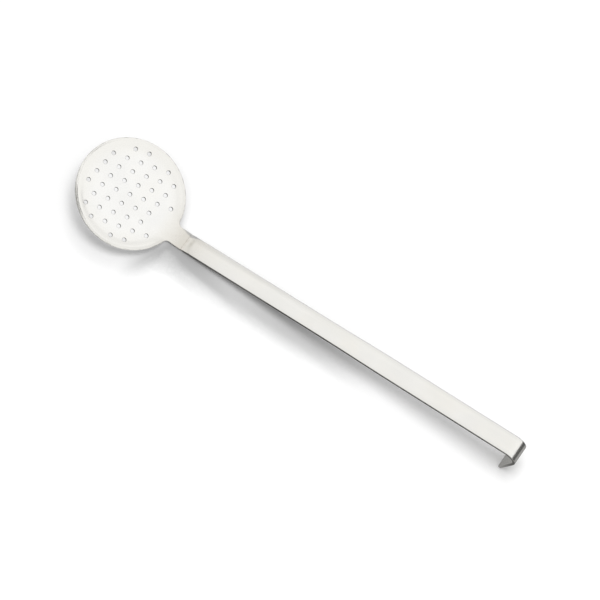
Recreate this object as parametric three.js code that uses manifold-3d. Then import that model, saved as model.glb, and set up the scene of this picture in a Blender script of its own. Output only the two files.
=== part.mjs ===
// A kitchen skimmer: a shallow perforated dish, welded by its neck to a long strip handle whose end is
// bent over into a hanging hook. Millimetres, +Z up. It lies as on a table, standing on the edges of the
// handle just behind the neck and on the tip of the hook, with the dish in the air. X runs from the dish
// to the hook, and the origin is on the table, in the middle of the whole.
import * as THREE from 'three';
import { mergeVertices } from 'three/addons/utils/BufferGeometryUtils.js';
import Module from 'manifold-3d';

const wasm = await Module();
wasm.setup();
const DEG = Math.PI / 180;

// Dish
const DISH_RADIUS = 50;
const DISH_SHEET = 1.5;
const DISH_DEPTH = 3;
const DISH_TILT = 22 * DEG;
const FLOOR_RADIUS = 40;
const LIP_WIDTH = 3.2;
const LIP_HEIGHT = 1.5;

// Holes, in staggered rows across the floor, none of them in front of the neck
const HOLE_DIAMETER = 3.6;
const HOLE_PITCH = 11.2;
const ROW_SPACING = 11.6;
const PATTERN_TURN = -5 * DEG;
const FIELD_RADIUS = 42;
const PLAIN_LENGTH = 18;

// Neck, from the dish to the weld
const NECK_WIDTH = 17.6;
const NECK_OFFSET = -2;
const NECK_REACH = 53.5;
const NECK_BEND_RADIUS = 60;
const NECK_FILLET = 5;
const LIP_FADE = 10;

// Handle
const HANDLE_LENGTH = 332.5;
const HANDLE_WIDTH = 18.9;
const HANDLE_SHEET = 2.5;
const EDGE_ROUND = 0.5;
const CROWN_HEIGHT = 2.7;
const CROWN_RAMP = 7;
const CROWN_LENGTH = 215;
const CROWN_FLAT = 0.25;
const CROWN_FADE_POWER = 1.7;
const FLANK_POWER = 1.5;
const WIDENING_START = 140;

// Hook
const HOOK_RADIUS = 10.5;
const HOOK_TURN = 114 * DEG;
const HOOK_FLAP = 27.5;
const HOOK_CORNER = 3;

// Weld
const WELD_WIDTH = 1.6;
const WELD_PROUD = 0.3;
const GAP = 0.3;

// Fineness of curved surfaces
const RIM_STEPS = 72;
const FLOOR_STEPS = 3;
const RISE_STEPS = 3;
const LIP_STEPS = 4;
const FILLET_STEPS = 5;
const NECK_STEPS = 3;
const NECK_END_STEPS = 4;
const HOLE_SIDES = 16;
const SECTION_STEPS = 10;
const RAMP_STEPS = 7;
const CROWN_STEPS = 9;
const WIDENING_STEPS = 7;
const BEND_STEPS = 12;
const CORNER_STEPS = 5;
const BEAD_STEPS = 6;
const MERGE_DISTANCE = 1e-4;

const seamHalf = WELD_WIDTH / 2 + GAP;
const bendReach = NECK_BEND_RADIUS * Math.sin(DISH_TILT);
const bendStart = NECK_REACH - NECK_BEND_RADIUS * Math.tan(DISH_TILT / 2);
const seamAt = new THREE.Vector3(
  bendStart + bendReach,
  NECK_OFFSET,
  NECK_BEND_RADIUS * (1 - Math.cos(DISH_TILT)) - DISH_DEPTH,
);

const steel = (name, color, roughness) =>
  new THREE.MeshStandardMaterial({ name, color, roughness, metalness: 1 });
const dishSteel = steel('dish_steel', 0xf0efec, 0.22);
const handleSteel = steel('handle_steel', 0xe8e6e0, 0.3);
const weldSteel = steel('weld_steel', 0xcfc6b8, 0.42);

function smooth(t) {
  const s = Math.min(Math.max(t, 0), 1);
  return s * s * (3 - 2 * s);
}

function range(count, from, to) {
  return Array.from({ length: count + 1 }, (_, i) => from + ((to - from) * i) / count);
}

function arc(cx, cy, radius, from, to, steps) {
  return range(steps, from, to).map(
    (a) => new THREE.Vector2(cx + radius * Math.cos(a), cy + radius * Math.sin(a)),
  );
}

// A closed mesh's volume, and its centroid times that volume
function volumeMoment(geometry) {
  const at = geometry.getAttribute('position');
  const order = geometry.index;
  const corner = [0, 1, 2].map(() => new THREE.Vector3());
  const moment = new THREE.Vector3();
  let volume = 0;
  for (let i = 0; i < order.count; i += 3) {
    corner.forEach((c, k) => c.fromBufferAttribute(at, order.getX(i + k)));
    const [a, b, c] = corner;
    const part = a.dot(b.clone().cross(c)) / 6;
    volume += part;
    moment.addScaledVector(a.clone().add(b).add(c), part / 4);
  }
  return { volume, moment };
}

function closedGeometry(points, order) {
  const geometry = new THREE.BufferGeometry();
  geometry.setAttribute('position', new THREE.BufferAttribute(new Float32Array(points.flat()), 3));
  geometry.setIndex(order);
  if (volumeMoment(geometry).volume < 0) {
    order.reverse();
    geometry.setIndex(order);
  }
  return geometry;
}

function solid(geometry) {
  const bare = geometry.clone();
  bare.deleteAttribute('normal');
  bare.deleteAttribute('uv');
  const merged = mergeVertices(bare, MERGE_DISTANCE);
  return new wasm.Manifold(
    new wasm.Mesh({
      numProp: 3,
      vertProperties: new Float32Array(merged.getAttribute('position').array),
      triVerts: new Uint32Array(merged.index.array),
    }),
  );
}

function geometryOf(manifold) {
  const { numProp, vertProperties, triVerts } = manifold.getMesh();
  const points = [];
  for (let i = 0; i < vertProperties.length; i += numProp) {
    points.push(Array.from(vertProperties.slice(i, i + 3)));
  }
  return closedGeometry(points, Array.from(triVerts));
}

// The dish's own frame: origin in the middle of the rim's plane, u towards the handle, v across, w up.

function neckHeight(u) {
  const along = Math.max(u - bendStart, 0);
  return NECK_BEND_RADIUS - Math.sqrt(NECK_BEND_RADIUS ** 2 - along ** 2) - DISH_DEPTH;
}

function rimHeight(r) {
  const lipStart = DISH_RADIUS - LIP_WIDTH;
  const rise = smooth((r - FLOOR_RADIUS) / (lipStart - FLOOR_RADIUS));
  const lip = smooth((r - lipStart) / LIP_WIDTH);
  return (DISH_DEPTH - LIP_HEIGHT) * rise + LIP_HEIGHT * lip - DISH_DEPTH;
}

// 1 over the neck, 0 where the dish has its full rim
function neckShare(u, v) {
  if (u <= 0) return 0;
  return 1 - smooth((Math.abs(v - NECK_OFFSET) - NECK_WIDTH / 2) / LIP_FADE);
}

function dishTop(u, v) {
  return THREE.MathUtils.lerp(rimHeight(Math.hypot(u, v)), neckHeight(u), neckShare(u, v));
}

// The point of the underside below a point of the top, square to the sheet along the neck
function dishUnder(u, v) {
  const along = Math.max(u - bendStart, 0) * neckShare(u, v);
  const slope = along / NECK_BEND_RADIUS;
  const upright = Math.sqrt(1 - slope ** 2);
  return [u + DISH_SHEET * slope, v, dishTop(u, v) - DISH_SHEET * upright];
}

// The outline seen from above: the rim, a fillet on each side, and the neck's straight sides and end
function dishOutline() {
  const neckEnd = seamAt.x - seamHalf * Math.cos(DISH_TILT);
  const side = (sign) => {
    const edge = sign * NECK_OFFSET + NECK_WIDTH / 2;
    const filletV = edge + NECK_FILLET;
    const filletU = Math.sqrt((DISH_RADIUS + NECK_FILLET) ** 2 - filletV ** 2);
    const meet = Math.atan2(filletV, filletU);
    const fillet = arc(filletU, filletV, NECK_FILLET, meet + Math.PI, 1.5 * Math.PI, FILLET_STEPS);
    const straight = range(NECK_STEPS, filletU, neckEnd).map((u) => new THREE.Vector2(u, edge));
    return { meet, points: [...fillet, ...straight.slice(1)] };
  };
  const left = side(1);
  const right = side(-1);
  const rim = arc(0, 0, DISH_RADIUS, left.meet, 2 * Math.PI - right.meet, RIM_STEPS);
  const mirrored = right.points.map((p) => new THREE.Vector2(p.x, -p.y));
  const end = range(NECK_END_STEPS, -NECK_WIDTH / 2, NECK_WIDTH / 2).map(
    (v) => new THREE.Vector2(neckEnd, NECK_OFFSET + v),
  );
  return [...rim.slice(1), ...mirrored.slice(1), ...end.slice(1, -1), ...left.points.reverse()];
}

// The sheet before it is punched: rings of points from the middle to the outline, top and underside
function dishSheet() {
  const outline = dishOutline();
  const lipShare = (DISH_RADIUS - LIP_WIDTH - FLOOR_RADIUS) / (DISH_RADIUS - FLOOR_RADIUS);
  const floorRadii = range(FLOOR_STEPS, 0, FLOOR_RADIUS).slice(1);
  const outerShares = [
    ...range(RISE_STEPS, 0, lipShare).slice(1),
    ...range(LIP_STEPS, lipShare, 1).slice(1),
  ];
  const rings = [
    ...floorRadii.map((r) => outline.map((p) => p.clone().setLength(r))),
    ...outerShares.map((t) =>
      outline.map((p) => p.clone().setLength(THREE.MathUtils.lerp(FLOOR_RADIUS, p.length(), t))),
    ),
  ];
  const flat = [new THREE.Vector2(), ...rings.flat()];
  const top = flat.map((p) => [p.x, p.y, dishTop(p.x, p.y)]);
  const points = [...top, ...flat.map((p) => dishUnder(p.x, p.y))];
  const sides = outline.length;
  const under = flat.length;
  const order = [];
  for (let j = 0; j < sides; j += 1) {
    const next = (j + 1) % sides;
    order.push(0, 1 + j, 1 + next, under, under + 1 + next, under + 1 + j);
    for (let k = 1; k < rings.length; k += 1) {
      const [a, b] = [1 + (k - 1) * sides + j, 1 + (k - 1) * sides + next];
      const [c, d] = [a + sides, b + sides];
      order.push(a, c, d, a, d, b);
      order.push(under + a, under + d, under + c, under + a, under + b, under + d);
    }
    const [rim, rimNext] = [1 + (rings.length - 1) * sides + j, 1 + (rings.length - 1) * sides + next];
    order.push(rim, under + rim, under + rimNext, rim, under + rimNext, rimNext);
  }
  return closedGeometry(points, order);
}

function holeCentres() {
  const alongRow = new THREE.Vector2(0, HOLE_PITCH);
  const nextRow = new THREE.Vector2(ROW_SPACING, HOLE_PITCH / 2);
  const reach = Math.ceil((2 * FIELD_RADIUS) / Math.min(HOLE_PITCH, ROW_SPACING));
  const centres = [];
  for (let i = -reach; i <= reach; i += 1) {
    for (let j = -reach; j <= reach; j += 1) {
      const at = alongRow.clone().multiplyScalar(i).addScaledVector(nextRow, j);
      at.rotateAround(new THREE.Vector2(), PATTERN_TURN);
      const nearNeck = at.x > DISH_RADIUS - PLAIN_LENGTH && Math.abs(at.y) < NECK_WIDTH / 2;
      if (at.length() < FIELD_RADIUS && !nearNeck) centres.push(at);
    }
  }
  return centres;
}

function perforatedDish() {
  const punchLength = 2 * (DISH_DEPTH + DISH_SHEET + GAP);
  const punch = new THREE.CylinderGeometry(HOLE_DIAMETER / 2, HOLE_DIAMETER / 2, punchLength, HOLE_SIDES);
  punch.rotateX(Math.PI / 2);
  let sheet = solid(dishSheet());
  for (const at of holeCentres()) {
    sheet = sheet.subtract(solid(punch.clone().translate(at.x, at.y, -DISH_DEPTH)));
  }
  const mesh = new THREE.Mesh(geometryOf(sheet), dishSteel);
  mesh.name = 'perforated_dish';
  return mesh;
}

// The handle's own frame: origin in the middle of the weld, x towards the hook, y across, z = 0 on the
// top of the handle where it is flat. Near the weld its middle is pressed up and its edges lie lower.

function edgeDrop(x) {
  return CROWN_HEIGHT * Math.max(1 - x / CROWN_LENGTH, 0) ** CROWN_FADE_POWER;
}

function halfWidth(x) {
  const widening = smooth((x - WIDENING_START) / (CROWN_LENGTH - WIDENING_START));
  return THREE.MathUtils.lerp(NECK_WIDTH, HANDLE_WIDTH, widening) / 2;
}

// Height of the handle's top at a share of its half width, from -1 to 1
function handleTop(x, share) {
  const crown = -CROWN_HEIGHT * (1 - smooth((x - seamHalf) / CROWN_RAMP));
  const flank = Math.max((Math.abs(share) - CROWN_FLAT) / (1 - CROWN_FLAT), 0) ** FLANK_POWER;
  return THREE.MathUtils.lerp(crown, -edgeDrop(x), flank);
}

// One cross-section as [across, height] points: top, one rounded edge, underside, the other edge
function handleSection(x, half) {
  const inner = 1 - EDGE_ROUND / half;
  const top = range(SECTION_STEPS, -inner, inner).map((s) => [s * half, handleTop(x, s)]);
  const under = top.map(([y, z]) => [y, z - HANDLE_SHEET]).reverse();
  const edge = handleTop(x, 1);
  return [
    ...top,
    [half, edge - EDGE_ROUND],
    [half, edge - HANDLE_SHEET + EDGE_ROUND],
    ...under,
    [-half, edge - HANDLE_SHEET + EDGE_ROUND],
    [-half, edge - EDGE_ROUND],
  ];
}

// Cross-sections set along the handle, round the bend and down the hook's flap
function handleStations() {
  const stations = [];
  const place = (x, z, turn, half, formedAt) => stations.push({ x, z, turn, half, formedAt });
  const ramp = range(RAMP_STEPS, seamHalf, seamHalf + CROWN_RAMP);
  const formed = range(CROWN_STEPS, seamHalf + CROWN_RAMP, WIDENING_START);
  const widening = range(WIDENING_STEPS, WIDENING_START, CROWN_LENGTH);
  for (const x of [...ramp, ...formed.slice(1), ...widening.slice(1)]) place(x, 0, 0, halfWidth(x), x);
  const full = HANDLE_WIDTH / 2;
  for (const turn of range(BEND_STEPS, 0, HOOK_TURN)) {
    const x = HANDLE_LENGTH + HOOK_RADIUS * Math.sin(turn);
    const z = -HOOK_RADIUS * (1 - Math.cos(turn));
    place(x, z, turn, full, CROWN_LENGTH);
  }
  const bendEnd = stations[stations.length - 1];
  for (const corner of range(CORNER_STEPS, 0, Math.PI / 2)) {
    const along = HOOK_FLAP - HOOK_CORNER * (1 - Math.sin(corner));
    const half = full - HOOK_CORNER * (1 - Math.cos(corner));
    const x = bendEnd.x + along * Math.cos(HOOK_TURN);
    const z = bendEnd.z - along * Math.sin(HOOK_TURN);
    place(x, z, HOOK_TURN, half, CROWN_LENGTH);
  }
  return stations;
}

function handleStrip() {
  const stations = handleStations();
  const sections = stations.map(({ half, formedAt }) => handleSection(formedAt, half));
  const points = stations.flatMap(({ x, z, turn }, i) =>
    sections[i].map(([y, up]) => [x + up * Math.sin(turn), y, z + up * Math.cos(turn)]),
  );
  const sides = sections[0].length;
  const order = [];
  for (let i = 1; i < stations.length; i += 1) {
    for (let j = 0; j < sides; j += 1) {
      const [a, b] = [(i - 1) * sides + j, (i - 1) * sides + ((j + 1) % sides)];
      order.push(a, b, b + sides, a, b + sides, a + sides);
    }
  }
  const cap = (i) =>
    THREE.ShapeUtils.triangulateShape(sections[i].map(([y, z]) => new THREE.Vector2(y, z)), []);
  const last = (stations.length - 1) * sides;
  for (const [a, b, c] of cap(0)) order.push(a, b, c);
  for (const [a, b, c] of cap(stations.length - 1)) order.push(last + a, last + c, last + b);
  const mesh = new THREE.Mesh(closedGeometry(points, order), handleSteel);
  mesh.name = 'handle_strip';
  return mesh;
}

// The bead fills the seam between the neck's end and the handle's end, a little proud of both
function neckWeld() {
  const half = WELD_WIDTH / 2;
  const high = -CROWN_HEIGHT;
  const low = high - HANDLE_SHEET;
  const bead = new THREE.Shape();
  bead.moveTo(-half, low);
  bead.quadraticCurveTo(0, low - 2 * WELD_PROUD, half, low);
  bead.lineTo(half, high);
  bead.quadraticCurveTo(0, high + 2 * WELD_PROUD, -half, high);
  bead.closePath();
  const length = NECK_WIDTH - 2 * EDGE_ROUND;
  const options = { depth: length, bevelEnabled: false, curveSegments: BEAD_STEPS };
  const geometry = new THREE.ExtrudeGeometry(bead, options);
  geometry.translate(0, 0, -length / 2);
  geometry.rotateX(Math.PI / 2);
  const mesh = new THREE.Mesh(geometryOf(solid(geometry)), weldSteel);
  mesh.name = 'neck_weld';
  return mesh;
}

// The dish hangs on the weld: its seam point goes to the handle's origin, at the level of the neck
function tiltedDish() {
  const dish = new THREE.Group();
  dish.add(perforatedDish());
  dish.rotation.y = DISH_TILT;
  dish.position.set(0, 0, -CROWN_HEIGHT).sub(seamAt.clone().applyEuler(dish.rotation));
  return dish;
}

function worldVertices(root) {
  const found = [];
  root.updateMatrixWorld(true);
  root.traverse((node) => {
    if (!node.isMesh) return;
    const at = node.geometry.getAttribute('position');
    for (let i = 0; i < at.count; i += 1) {
      found.push(new THREE.Vector3().fromBufferAttribute(at, i).applyMatrix4(node.matrixWorld));
    }
  });
  return found;
}

function balancePoint(root) {
  const sum = new THREE.Vector3();
  let total = 0;
  root.updateMatrixWorld(true);
  root.traverse((node) => {
    if (!node.isMesh) return;
    const { volume, moment } = volumeMoment(node.geometry);
    sum.addScaledVector(moment.divideScalar(volume).applyMatrix4(node.matrixWorld), volume);
    total += volume;
  });
  return sum.divideScalar(total);
}

// The slope of the line under the whole, seen from the side, that passes below its balance point:
// the object comes to rest on the two ends of that line
function restingSlope(root) {
  const points = worldVertices(root).sort((a, b) => a.x - b.x || a.z - b.z);
  const hull = [];
  const turnsUp = (a, b, c) => (b.x - a.x) * (c.z - a.z) - (b.z - a.z) * (c.x - a.x) > 0;
  for (const p of points) {
    while (hull.length > 1 && !turnsUp(hull[hull.length - 2], hull[hull.length - 1], p)) hull.pop();
    hull.push(p);
  }
  const balance = balancePoint(root).x;
  const i = hull.findIndex((p) => p.x > balance);
  return Math.atan2(hull[i].z - hull[i - 1].z, hull[i].x - hull[i - 1].x);
}

function skimmer() {
  const tool = new THREE.Group();
  tool.add(tiltedDish(), neckWeld(), handleStrip());
  const group = new THREE.Group();
  group.add(tool);
  tool.rotation.y = restingSlope(tool);
  const box = new THREE.Box3().setFromPoints(worldVertices(group));
  const middle = box.getCenter(new THREE.Vector3());
  tool.position.set(-middle.x, -middle.y, -box.min.z);
  return group;
}

export default skimmer();
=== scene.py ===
# A kitchen skimmer of polished steel: a shallow perforated dish, welded by its neck to a strip handle
# that ends in a hanging hook. It lies on a pale table in soft studio light. The file is laid out as an
# add-on: sizes and colours are properties, each piece has an operator, and the panel lists them.
import math

import bpy
from bpy.props import FloatProperty, FloatVectorProperty, IntProperty, PointerProperty
from mathutils import Matrix, Vector


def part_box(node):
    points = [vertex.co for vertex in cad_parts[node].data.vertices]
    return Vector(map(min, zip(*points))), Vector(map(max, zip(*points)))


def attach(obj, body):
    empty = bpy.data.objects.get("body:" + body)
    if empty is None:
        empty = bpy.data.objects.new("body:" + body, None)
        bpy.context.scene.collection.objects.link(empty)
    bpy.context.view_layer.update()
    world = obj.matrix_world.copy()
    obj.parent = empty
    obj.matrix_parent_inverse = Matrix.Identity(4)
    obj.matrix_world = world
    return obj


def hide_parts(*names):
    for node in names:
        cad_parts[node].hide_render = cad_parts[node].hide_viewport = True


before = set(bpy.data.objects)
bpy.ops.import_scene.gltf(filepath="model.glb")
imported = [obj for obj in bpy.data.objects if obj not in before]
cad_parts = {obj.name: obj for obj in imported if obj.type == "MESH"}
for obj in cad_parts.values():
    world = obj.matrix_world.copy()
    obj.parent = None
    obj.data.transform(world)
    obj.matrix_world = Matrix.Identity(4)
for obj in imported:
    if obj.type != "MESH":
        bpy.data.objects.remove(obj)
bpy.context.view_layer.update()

bl_info = {
    "name": "Kitchen Skimmer",
    "version": (1, 0, 0),
    "blender": (4, 5, 0),
    "location": "View3D > Sidebar > Skimmer",
    "description": "Models a perforated skimmer with a strip handle and its studio stage",
    "category": "Add Mesh",
}

MM = 0.001


# Where the tool lies, read from the frame

def handle_lean():
    """The handle's rise towards the hook, from its largest upward face."""
    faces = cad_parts["handle_strip"].data.polygons
    flat = max((f for f in faces if f.normal.z > 0.9 and abs(f.normal.y) < 1e-3), key=lambda f: f.area)
    return math.atan2(-flat.normal.x, flat.normal.z)


def box_middle(node):
    low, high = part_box(node)
    return (low + high) / 2


LEAN = handle_lean()
SEAM_MIDDLE = box_middle("neck_weld")


# Sizes and colours

def length(label, description, default):
    return FloatProperty(name=label, description=description, default=default, min=0.0, unit="LENGTH",
                         precision=5)


def angle(label, description, degrees):
    return FloatProperty(name=label, description=description, default=math.radians(degrees),
                         subtype="ANGLE", unit="ROTATION")


def colour(label, description, default):
    return FloatVectorProperty(name=label, description=description, default=default, size=3,
                               min=0.0, max=1.0, subtype="COLOR")


def share(label, description, default):
    return FloatProperty(name=label, description=description, default=default, min=0.0, max=1.0,
                         subtype="FACTOR")


def amount(label, description, default):
    return FloatProperty(name=label, description=description, default=default, min=0.0)


class DishSizes(bpy.types.PropertyGroup):
    """The perforated dish and its neck"""
    radius: length("Rim radius", "Radius of the dish at its rim", 50 * MM)
    sheet: length("Sheet", "Thickness of the dish's sheet", 1.5 * MM)
    depth: length("Depth", "Depth of the dish below its rim", 3 * MM)
    tilt: angle("Tilt", "Angle between the dish and the handle", 22)
    floor_radius: length("Floor radius", "Radius of the flat floor", 40 * MM)
    lip_width: length("Lip width", "Width of the raised lip", 3.2 * MM)
    lip_height: length("Lip height", "Height of the raised lip", 1.5 * MM)
    rim_round: length("Rim rounding", "Radius of the rim's rounded edges", 0.45 * MM)
    hole: length("Hole", "Diameter of a hole's throat", 3.6 * MM)
    hole_roll: length("Hole rolling", "Width of the edge that the punch drew down", 0.45 * MM)
    pitch: length("Hole pitch", "Distance between holes in a row", 11.2 * MM)
    row: length("Row spacing", "Distance between rows of holes", 11.6 * MM)
    turn: angle("Pattern turn", "Turn of the hole pattern", -5)
    field: length("Field radius", "Radius of the field of holes", 42 * MM)
    plain: length("Plain length", "Length in front of the neck that has no holes", 18 * MM)
    neck_width: length("Neck width", "Width of the neck", 17.6 * MM)
    neck_offset: FloatProperty(name="Neck offset", description="Sideways place of the neck",
                               default=-2 * MM, unit="LENGTH", precision=5)
    neck_reach: length("Neck reach", "Distance to the middle of the neck's bend", 53.5 * MM)
    neck_bend: length("Neck bend radius", "Radius of the neck's bend", 60 * MM)
    neck_fillet: length("Neck fillet", "Radius of the corner between rim and neck", 5 * MM)
    lip_fade: length("Lip fade", "Width over which the lip fades beside the neck", 10 * MM)
    rays: IntProperty(name="Rim points", description="Points round the rim", default=132, min=24)


class HandleSizes(bpy.types.PropertyGroup):
    """The strip handle, its crowned root and its hook"""
    length: length("Length", "Length from the weld to the start of the bend", 332.5 * MM)
    width: length("Width", "Width of the strip", 18.9 * MM)
    root_width: length("Root width", "Width of the strip at the weld", 17.6 * MM)
    sheet: length("Sheet", "Thickness of the strip", 2.5 * MM)
    edge_round: length("Edge rounding", "Radius of the strip's edges", 0.5 * MM)
    crown: length("Crown", "Height of the pressed crown", 2.7 * MM)
    crown_ramp: length("Crown ramp", "Length over which the crown rises", 7 * MM)
    crown_length: length("Crown length", "Length over which the crown fades", 215 * MM)
    crown_flat: share("Crown flat", "Share of the half width that stays flat", 0.25)
    fade_power: amount("Crown fade", "Power of the crown's fading", 1.7)
    flank_power: amount("Flank", "Power of the crown's flanks", 1.5)
    widening: length("Widening start", "Where the strip starts to widen", 140 * MM)
    hook_radius: length("Hook radius", "Outer radius of the hook's bend", 10.5 * MM)
    hook_turn: angle("Hook turn", "Angle of the hook's bend", 114)
    flap: length("Flap", "Length of the hook's flap", 27.5 * MM)
    corner: length("Flap corner", "Radius of the flap's corners", 3 * MM)


class WeldSizes(bpy.types.PropertyGroup):
    """The bead between the neck and the handle"""
    width: length("Width", "Width of the bead", 1.6 * MM)
    gap: length("Gap", "Gap between the pieces that the bead fuses", 0.3 * MM)
    proud: length("Proud", "Height of the bead above the sheets", 0.3 * MM)


class SteelColours(bpy.types.PropertyGroup):
    """Colours of the steel, as they are under white light"""
    dish: colour("Dish steel", "Colour of the polished dish", (0.955, 0.95, 0.928))
    handle: colour("Handle steel", "Colour of the satin handle", (0.93, 0.92, 0.885))
    weld: colour("Weld steel", "Colour of the ground bead", (0.80, 0.77, 0.715))
    straw: colour("Heat tint", "Straw tint that the heat of the weld left", (0.62, 0.575, 0.49))
    oxide: colour("Oxide", "Slate tint along the far edge beside the weld", (0.36, 0.365, 0.38))
    # The cut edge colour is partly darker sheared steel and partly painted shade, where the steel mirrors
    # the shadowed table
    cut: colour("Cut edge", "Colour of sheared edges", (0.27, 0.265, 0.25))


class StageSettings(bpy.types.PropertyGroup):
    """The table, the light and the camera"""
    floor: colour("Table", "Colour of the table", (0.30, 0.30, 0.30))
    shade: share("Contact shade", "How dark the shade close to the object is", 0.58)
    shade_onset: share("Shade onset", "Share that the object hides where the shade is full", 0.117)
    shade_reach: length("Shade reach", "How far from the object its contact shade reaches", 29.7 * MM)
    fill: amount("Fill", "Strength of the even light from all round", 0.675)
    key: amount("Key", "Share of the table's light that the key gives", 0.465)
    key_size: length("Key size", "Diameter of the key light", 1.84)
    key_distance: length("Key distance", "Distance of the key light", 3.2)
    key_azimuth: angle("Key azimuth", "Direction of the key light, from +X towards +Y", 100)
    key_elevation: angle("Key elevation", "Height of the key light", 88)
    distance: length("Camera distance", "Distance of the camera from its target", 2.6026)
    azimuth: angle("Camera azimuth", "Camera's turn round the object", 16.103)
    elevation: angle("Camera elevation", "Camera's height above the table", 68.798)
    roll: angle("Camera roll", "Camera's turn about its own axis", 19.166)
    lens: FloatProperty(name="Lens", description="Focal length", default=180.334, unit="CAMERA")


# Small tools for modelling by hand

MERGE = 0.002 * MM


def smooth(t):
    s = min(max(t, 0.0), 1.0)
    return s * s * (3 - 2 * s)


def lerp(a, b, t):
    return a + (b - a) * t


def spread(count, start, end):
    """count steps from start to end, both included"""
    return [lerp(start, end, i / count) for i in range(count + 1)]


def clear_selection():
    if bpy.context.object and bpy.context.object.mode != "OBJECT":
        bpy.ops.object.mode_set(mode="OBJECT")
    bpy.ops.object.select_all(action="DESELECT")


def pick(piece):
    clear_selection()
    piece.select_set(True)
    bpy.context.view_layer.objects.active = piece


def edit():
    bpy.ops.object.mode_set(mode="EDIT")
    bpy.ops.mesh.select_mode(type="VERT")
    bpy.ops.mesh.select_all(action="SELECT")


def leave_edit():
    bpy.ops.object.mode_set(mode="OBJECT")


def select_edges(piece, test):
    """Selects in edit mode the edges whose two ends pass the test."""
    bpy.ops.mesh.select_mode(type="EDGE")
    bpy.ops.mesh.select_all(action="DESELECT")
    bpy.ops.object.mode_set(mode="OBJECT")
    for line in piece.data.edges:
        line.select = test(*(piece.data.vertices[i].co for i in line.vertices))
    bpy.ops.object.mode_set(mode="EDIT")


def form(piece, place):
    """Presses or bends a blank: each vertex goes to place(vertex)."""
    for vertex in piece.data.vertices:
        vertex.co = place(vertex.co.copy())
    piece.data.update()


def apply_modifiers(piece):
    pick(piece)
    for modifier in list(piece.modifiers):
        bpy.ops.object.modifier_apply(modifier=modifier.name)


def outward(piece):
    """Merges a piece's doubles and turns its faces outwards."""
    pick(piece)
    edit()
    bpy.ops.mesh.remove_doubles(threshold=MERGE)
    bpy.ops.mesh.normals_make_consistent(inside=False)
    leave_edit()


def mark_sheared_and_shade(piece, share_at):
    """Leaves how far each vertex belongs to a sheared edge, and to the painted shade round it, for the
    piece's material
    """
    marks = piece.data.attributes.new("sheared_and_shade", "FLOAT", "POINT")
    for vertex, mark in zip(piece.data.vertices, marks.data):
        mark.value = share_at(vertex)


def finish_piece(piece, name, place, material, node, sharp=35):
    """Puts the finished piece in its place in its mesh, hangs it under the root body and hides its CAD
    node.
    """
    piece.name = name
    piece.data.name = name
    pick(piece)
    piece.matrix_world = place
    bpy.ops.object.transform_apply(location=True, rotation=True, scale=True)
    bpy.ops.object.shade_smooth_by_angle(angle=math.radians(sharp))
    piece.data.materials.clear()
    piece.data.materials.append(material)
    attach(piece, "root")
    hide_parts(node)
    clear_selection()


# Frames of the two bent pieces. The handle's has its origin in the middle of the weld, x towards the
# hook and z = 0 on the flat top; the dish's has its origin in the middle of the rim's plane.

def handle_place():
    handle = bpy.context.scene.skimmer_handle
    turn = Matrix.Rotation(-LEAN, 4, "Y")
    middle = Vector((0.0, 0.0, -handle.crown - handle.sheet / 2))
    return Matrix.Translation(SEAM_MIDDLE - turn @ middle) @ turn


def bend_start(dish):
    return dish.neck_reach - dish.neck_bend * math.tan(dish.tilt / 2)


def seam_point(dish):
    """The middle of the weld in the dish's own frame, at the level of the neck's top"""
    along = dish.neck_bend * math.sin(dish.tilt)
    rise = dish.neck_bend * (1 - math.cos(dish.tilt))
    return Vector((bend_start(dish) + along, dish.neck_offset, rise - dish.depth))


def dish_place():
    dish = bpy.context.scene.skimmer_dish
    crown = bpy.context.scene.skimmer_handle.crown
    turn = Matrix.Rotation(dish.tilt, 4, "Y")
    shift = Vector((0.0, 0.0, -crown)) - turn @ seam_point(dish)
    return handle_place() @ Matrix.Translation(shift) @ turn


# The dish

RISE_SHARE_STEPS = 6
LIP_SHARE_STEPS = 8
FLOOR_STEPS = 16
FILLET_STEPS = 8
NECK_SIDE_STEPS = 8
NECK_END_STEPS = 12


def arc(cx, cy, radius, start, end, steps):
    turns = spread(steps, start, end)
    return [Vector((cx + radius * math.cos(a), cy + radius * math.sin(a))) for a in turns]


def dish_outline(dish):
    """Points round the blank: half the neck's end, one side, the rim, the other side and half the end."""
    weld = bpy.context.scene.skimmer_weld
    seam_half = weld.width / 2 + weld.gap
    end = seam_point(dish).x - seam_half * math.cos(dish.tilt)

    def side(sign):
        edge = sign * dish.neck_offset + dish.neck_width / 2
        fillet_v = edge + dish.neck_fillet
        fillet_u = math.sqrt((dish.radius + dish.neck_fillet) ** 2 - fillet_v ** 2)
        meet = math.atan2(fillet_v, fillet_u)
        straight = [Vector((u, edge)) for u in spread(NECK_SIDE_STEPS, end, fillet_u)]
        fillet = arc(fillet_u, fillet_v, dish.neck_fillet, 1.5 * math.pi, math.pi + meet, FILLET_STEPS)
        half_end = [Vector((end, v)) for v in spread(NECK_END_STEPS // 2, sign * dish.neck_offset, edge)]
        return meet, half_end[:-1] + straight[:-1] + fillet

    left_meet, left = side(1)
    right_meet, right = side(-1)
    rim = arc(0, 0, dish.radius, left_meet, 2 * math.pi - right_meet, dish.rays)
    mirrored = [Vector((p.x, -p.y)) for p in reversed(right)]
    return left + rim[1:-1] + mirrored[:-1]


def rim_height(dish, r):
    lip_start = dish.radius - dish.lip_width
    rise = smooth((r - dish.floor_radius) / (lip_start - dish.floor_radius))
    lip = smooth((r - lip_start) / dish.lip_width)
    return (dish.depth - dish.lip_height) * rise + dish.lip_height * lip - dish.depth


def neck_share(dish, u, v):
    """1 over the neck, 0 where the dish has its full rim"""
    if u <= 0:
        return 0.0
    return 1 - smooth((abs(v - dish.neck_offset) - dish.neck_width / 2) / dish.lip_fade)


def neck_height(dish, u):
    along = max(u - bend_start(dish), 0.0)
    return dish.neck_bend - math.sqrt(dish.neck_bend ** 2 - along ** 2) - dish.depth


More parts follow.
